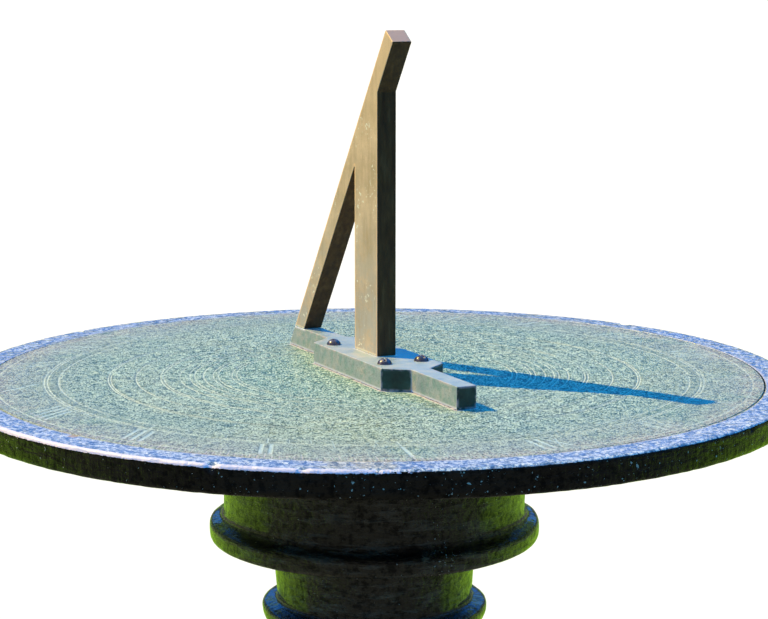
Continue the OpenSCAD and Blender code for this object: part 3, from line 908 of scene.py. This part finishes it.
def lettering_strokes():
    """The numerals, the scale of ten-minute lines inside them and the three-minute ticks outside them."""
    strokes = []
    for hour in NUMERALS:
        strokes += numeral_strokes(hour)
    for minutes in range(-480, 481, 10):
        if minutes % 60 == 0:
            strokes += hour_strokes(minutes / 60, SCALE_IN, CHAPTER_IN, 1.0 * MM)
        elif minutes % 30 == 0:
            strokes += hour_strokes(minutes / 60, SCALE_IN, CHAPTER_IN + 6 * MM, 0.8 * MM)
        else:
            strokes += hour_strokes(minutes / 60, SCALE_IN, TEN_MINUTES_OUT, 0.6 * MM)
    for tick in range(-160, 161):
        longer = 6 * MM if tick % 5 == 0 else 0
        strokes += hour_strokes(tick / 20, TICK_IN - longer, TICK_OUT, 0.8 * MM)
    return strokes


def stroke_mask(points, strokes, softness):
    """(mask, edge): how far each point is inside the strokes, from 0 to 1, and how near to their outline."""
    mask = np.zeros(len(points))
    edge = np.zeros(len(points))
    order = np.argsort(points[:, 0])
    ordered_x = points[order, 0]
    for a, b, width in strokes:
        reach_out = width / 2 + 2 * softness
        first, last = np.searchsorted(
            ordered_x, [min(a[0], b[0]) - reach_out, max(a[0], b[0]) + reach_out]
        )
        near = order[first:last]
        low, high = min(a[1], b[1]) - reach_out, max(a[1], b[1]) + reach_out
        near = near[(points[near, 1] > low) & (points[near, 1] < high)]
        if not len(near):
            continue
        along = b - a
        t = np.clip((points[near, :2] - a) @ along / (along @ along), 0, 1)
        gap = np.linalg.norm(points[near, :2] - a - t[:, None] * along, axis=1) - width / 2
        mask[near] = np.maximum(mask[near], 1 - smooth_step(-softness, softness, gap))
        edge[near] = np.maximum(edge[near], 1 - smooth_step(0, 1.6 * softness, np.abs(gap - 0.5 * softness)))
    return mask, edge


def plate_rows():
    """Radii of the inner and outer grid's rows, closer together where a circle is engraved."""
    inner = set(np.round(np.arange(4 * MM, FINE_FROM, 1.05 * MM), 6))
    for circle in INNER_CIRCLES:
        inner = {r for r in inner if abs(r - circle) > 1.0 * MM}
        inner |= {round(circle + k * 0.4 * MM, 6) for k in (-2, -1, 0, 1, 2)}
    inner = sorted(r for r in inner if r < FINE_FROM - 0.5 * MM)
    outer = np.linspace(FINE_FROM, PLATE_R - 0.8 * MM, 76)
    return np.array(inner), outer


def ring_points(radii, columns, z):
    angle = np.arange(columns) * 2 * math.pi / columns
    r = np.asarray(radii)[:, None]
    return np.stack(np.broadcast_arrays(r * np.cos(angle), r * np.sin(angle), z), -1).reshape(-1, 3)


def plate_shape():
    """(points, faces, top) of the plate before it is engraved. The first top points are its upper face."""
    inner, outer = plate_rows()
    top_inner = ring_points(inner, COLUMNS, PLATE_TOP)
    top_outer = ring_points(outer, FINE_COLUMNS, PLATE_TOP)
    side = [
        ring_points([PLATE_R - 0.25 * MM], FINE_COLUMNS, PLATE_TOP - 0.15 * MM),
        ring_points([PLATE_R], FINE_COLUMNS, PLATE_TOP - 0.8 * MM),
        ring_points([PLATE_R], FINE_COLUMNS, PLATE_LOW.z),
    ]
    points = np.concatenate([top_inner, top_outer, *side])
    first_outer = len(top_inner)
    step = np.arange(COLUMNS)
    last_inner = first_outer - COLUMNS + step
    next_inner = first_outer - COLUMNS + (step + 1) % COLUMNS
    fine = first_outer + 2 * step
    next_fine = first_outer + (2 * step + 2) % FINE_COLUMNS
    faces = [
        grid_faces(len(inner), COLUMNS),
        np.stack([last_inner, fine, fine + 1, next_fine, next_inner], -1),
        grid_faces(len(outer) + len(side), FINE_COLUMNS, first_outer),
        step[None, :],
        (len(points) - 1 - np.arange(FINE_COLUMNS))[None, :],
    ]
    return points, faces, len(top_inner) + len(top_outer)


def plate_marks(flat):
    """Each point's share, by name, in the engraving and in the crust of the plate's upper face."""
    scored, _ = stroke_mask(flat, hour_line_strokes(), 0.3 * MM)
    lettered, edge = stroke_mask(flat, lettering_strokes(), 0.3 * MM)
    circles = np.zeros(len(flat))
    r = np.hypot(flat[:, 0], flat[:, 1])
    for circle in INNER_CIRCLES + OUTER_CIRCLES:
        gap = np.abs(r - circle) - LINE_W / 2
        circles = np.maximum(circles, 1 - smooth_step(-0.3 * MM, 0.3 * MM, gap))
        edge = np.maximum(edge, 1 - smooth_step(0, 0.5 * MM, np.abs(gap - 0.2 * MM)))
    wear = smooth_step(-0.5, 0.2, fractal_noise(flat, 40 * MM, 4, 21))
    rubbed_away = smooth_step(-0.15, 0.25, fractal_noise(flat, 26 * MM, 3, 27))
    crust = np.clip(1.7 * fractal_noise(flat, 2.4 * MM, 2, 31), -1, 1)
    crust *= smooth_step(-0.55, 0.05, fractal_noise(flat, 60 * MM, 2, 41))
    return {
        "engraved": circles * (0.45 + 0.55 * wear),
        "lettered": lettered * (0.35 + 0.4 * wear),
        "scored": scored * (0.1 + 0.9 * rubbed_away),
        "line_edge_shade": edge * wear,
        "crust": crust,
    }


def make_dial_plate():
    points, faces, top = plate_shape()
    flat = points[:top]
    marks = plate_marks(flat)
    cut = np.maximum(np.maximum(marks["engraved"], marks["lettered"]), marks["scored"])
    swell = fractal_noise(flat, 70 * MM, 2, 51)
    flat[:, 2] -= LINE_DEPTH * cut + 0.20 * MM * (1 - marks["crust"]) + 0.10 * MM * (1 - swell)
    marks["deposit"] = deposit_along(flat, seam("gnomon_foot", PLATE_TOP), 1.7 * MM)
    mesh = mesh_from("dial_plate_engraved", points, faces)
    padding = np.zeros(len(points) - top)
    for name, values in marks.items():
        add_attribute(mesh, name, np.concatenate([values, padding]))
    return place("dial_plate_engraved", mesh, verdigris(), "dial_plate", "dial_bronze")


# ---------------------------------------------------------------- the rest of the object

# Bearing from +X at which the painted sun highlight on the table's upper corner is strongest.
PAINTED_HIGHLIGHT_BEARING = math.radians(25)
# (bearing in degrees, width in mm, depth in mm) of each chip in the table's upper edge.
CHIPS = [(45.9, 4.5, 1.8), (56.5, 4, 1.4), (65.0, 3, 1.2), (118, 4, 1.2), (201, 5, 1.6), (297, 4, 1.3)]


def rim_chips(points):
    """Depth of the chips knocked out of the table's upper edge."""
    depth = np.zeros(len(points))
    for bearing, width, deep in CHIPS:
        a = math.radians(bearing)
        r = TABLE_R - 2 * MM
        corner = np.array([r * math.cos(a), r * math.sin(a), TABLE_HIGH.z - 2 * MM])
        gap = np.linalg.norm(points - corner, axis=1)
        depth = np.maximum(depth, deep * MM * (1 - smooth_step(0.3 * width * MM, width * MM, gap)))
    return depth


def make_table(material):
    """The table, with fine rows where the rim shows and a few chips along its upper edge."""
    rim_from = PLATE_R - 4 * MM
    outline, closed = section("table_top")
    outline = rounded(resampled(outline, closed, 0.4 * MM), closed, 3)
    kept = thinned(outline, lambda r, z: 0.8 * MM if r > rim_from else 6 * MM)
    points, faces = turned(kept, closed, 1440)
    mesh = mesh_from("table_painted", points, faces)
    facing = normals(mesh)
    r = np.hypot(points[:, 0], points[:, 1])
    relief = paint_relief(points, 4 * MM, 0.5 * MM, 3) * smooth_step(PLATE_R, PLATE_R + 3 * MM, r)
    move_along_normals(mesh, relief - rim_chips(points))
    tilt = facing[:, 2]
    add_attribute(mesh, "top", smooth_step(0.35, 0.85, tilt) * (r > PLATE_R))
    # The edge attribute marks a painted sun highlight on the rounded corner, strongest at the highlight's
    # bearing.
    band = smooth_step(0.12, 0.35, tilt) * (1 - smooth_step(0.975, 0.998, tilt))
    from_painted_highlight = np.arctan2(points[:, 1], points[:, 0]) - PAINTED_HIGHLIGHT_BEARING
    rubbed = smooth_step(0.55, 0.92, np.cos(from_painted_highlight))
    add_attribute(mesh, "edge", band * rubbed * (r > TABLE_R - 5 * MM))
    return place("table_painted", mesh, material, "table_top", "black_iron")


def make_castings(material):
    """Name, node, columns, fine and coarse rows in mm, radius in mm that is seen, and seed of each."""
    for name, node, columns, fine, coarse, seen_from, seed in (
        ("capital_painted", "capital", 720, 1.2, 6, 86, 11),
        ("neck_collar_painted", "neck_collar", 600, 1.2, 6, 52, 12),
        ("shaft_painted", "shaft", 420, 2.2, 9, 43, 13),
        ("base_painted", "base_casting", 600, 1.8, 9, 60, 14),
    ):
        turned_casting(name, node, columns, fine * MM, coarse * MM, seen_from * MM, material, seed)


def make_gnomon():
    joint = seam("gnomon_frame", FOOT_HIGH.z)
    bedding = seam("gnomon_foot", PLATE_TOP)
    worn_solid(
        "gnomon_frame_worn", "gnomon_frame", 0.5 * MM, 0.45 * MM, 2.0 * MM, 0.06 * MM,
        gnomon_bronze(), "gnomon_bronze", 61, joint,
    )
    worn_solid(
        "gnomon_foot_worn", "gnomon_foot", 0.6 * MM, 0.8 * MM, 1.5 * MM, 0.14 * MM,
        foot_bronze(), "foot_bronze", 62, joint + bedding,
    )
    worn_solid(
        "foot_screws_worn", "foot_screws", 0.22 * MM, 0.12 * MM, 0.45 * MM, 0.04 * MM,
        screw_bronze(), "screw_bronze", 63,
    )


def make_plinth(material):
    mesh, from_edge = even_solid("plinth_painted", "plinth", 3 * MM, 2.5 * MM)
    move_along_normals(mesh, paint_relief(coordinates(mesh), 12 * MM, 0.6 * MM, 15))
    return place("plinth_painted", mesh, material, "plinth", "black_iron")


# The bronze fixings are hidden, and take the plain bronze that the CAD's own screws come with.
PLAIN_BRONZE = bpy.data.materials["screw_bronze"]
BRONZE_FIXINGS = ("frame_screws", "dial_studs")
STEEL_FIXINGS = (
    "dial_stud_washers", "dial_stud_nuts", "table_bolts", "table_bolt_washers", "tie_rod",
    "tie_rod_washers", "tie_rod_nuts", "joint_dowels",
)


def finish_fixings(nodes, material):
    """Fixings keep their CAD shapes, with their edges rounded."""
    for node in nodes:
        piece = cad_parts[node]
        for material_slot in piece.material_slots:
            material_slot.material = material
        bevel = piece.modifiers.new("rounded_edges", "BEVEL")
        bevel.width = 0.4 * MM
        bevel.segments = 2
        bevel.limit_method = "ANGLE"


def make_world():
    """Soft sky light from above, and plain white where the camera sees past the floor.

    Reflections see what stands round a garden dial: a low hedge, dark trees, and the shade behind the viewer.
    """
    s = Shader(bpy.data.worlds.new("studio"), "Generated")
    height = s.axis("Z")
    sky = s.ramp(
        height,
        (0.0, (0.05, 0.10, 0.10)),
        (0.04, (0.12, 0.48, 1.12)),
        (0.35, (0.035, 0.47, 1.13)),
        (1.0, (0.015, 0.45, 1.08)),
    )
    toward = s.toward_viewer()
    above_trees = s.minus(height, s.step(toward, -0.94, -0.84, 0.18, 0.38))
    trees = s.step(above_trees, 0.0, -0.05)
    deep_sky = s.mix(s.step(height, 0.75, 0.40), sky, (0.03, 0.30, 1.20))
    hazy = s.mix(s.step(toward, 0.0, 0.4), deep_sky, (0.16, 0.24, 0.36))
    wooded = s.mix(trees, hazy, (0.020, 0.035, 0.030))
    hedge = s.times(s.step(toward, -0.20, -0.40), s.step(height, 0.10, 0.05))
    hedged = s.mix(hedge, wooded, (0.30, 0.52, 0.02))
    shade = s.times(s.step(toward, -0.10, 0.20), s.step(height, 0.52, 0.38))
    shaded = s.mix(shade, hedged, (0.045, 0.042, 0.035))
    rays = s.add("ShaderNodeLightPath").outputs
    lit = s.mix(rays["Is Glossy Ray"], sky, shaded)
    colour = s.mix(rays["Is Camera Ray"], lit, (1.0, 1.0, 1.0))
    s.plug(s.tree.nodes["Background"].inputs["Color"], colour)
    bpy.context.scene.world = s.owner


def make_floor():
    """A wide pale floor. Reflections see it as the ground round a garden dial: a dark path and a lawn."""
    s = Shader(bpy.data.materials.new("floor"))
    out = s.radius()
    share = s.math("DIVIDE", s.toward_viewer(), s.larger(out, 0.01))
    # The lawn lies on the far side of the dial, and gives way to the path as it gets further off.
    widening = s.larger(s.minus(out, 4.6), -0.1)
    lawn = s.step(s.plus(share, s.times(widening, 1.15)), 0.04, -0.14)
    lawn = s.times(lawn, s.step(out, 1.2, 2.0))
    grass = s.ramp(s.noise(0.5, 4, 0.6), (0.38, (0.12, 0.24, 0.002)), (0.56, (0.36, 0.62, 0.004)))
    ground = s.mix(lawn, (0.10, 0.088, 0.065), grass)
    camera_sees = s.add("ShaderNodeLightPath").outputs["Is Camera Ray"]
    s.finish(
        s.mix(camera_sees, ground, (0.35, 0.35, 0.35)), 0.9,
        Emission_Color=(0.70, 0.62, 0.56), Emission_Strength=camera_sees,
    )
    mesh = bpy.data.meshes.new("floor")
    shape = bmesh.new()
    bmesh.ops.create_circle(shape, cap_ends=True, segments=96, radius=200)
    shape.to_mesh(mesh)
    shape.free()
    mesh.materials.append(s.owner)
    floor = bpy.data.objects.new("floor", mesh)
    floor.location.z = CAD_BOX[0].z
    bpy.context.scene.collection.objects.link(floor)


make_camera()
make_sun()
make_world()
make_floor()
make_dial_plate()
paint = black_paint()
make_table(paint)
make_castings(paint)
make_plinth(paint)
make_gnomon()
finish_fixings(BRONZE_FIXINGS, PLAIN_BRONZE)
finish_fixings(STEEL_FIXINGS, fixing_steel())
bpy.context.scene.view_settings.view_transform = "Standard"
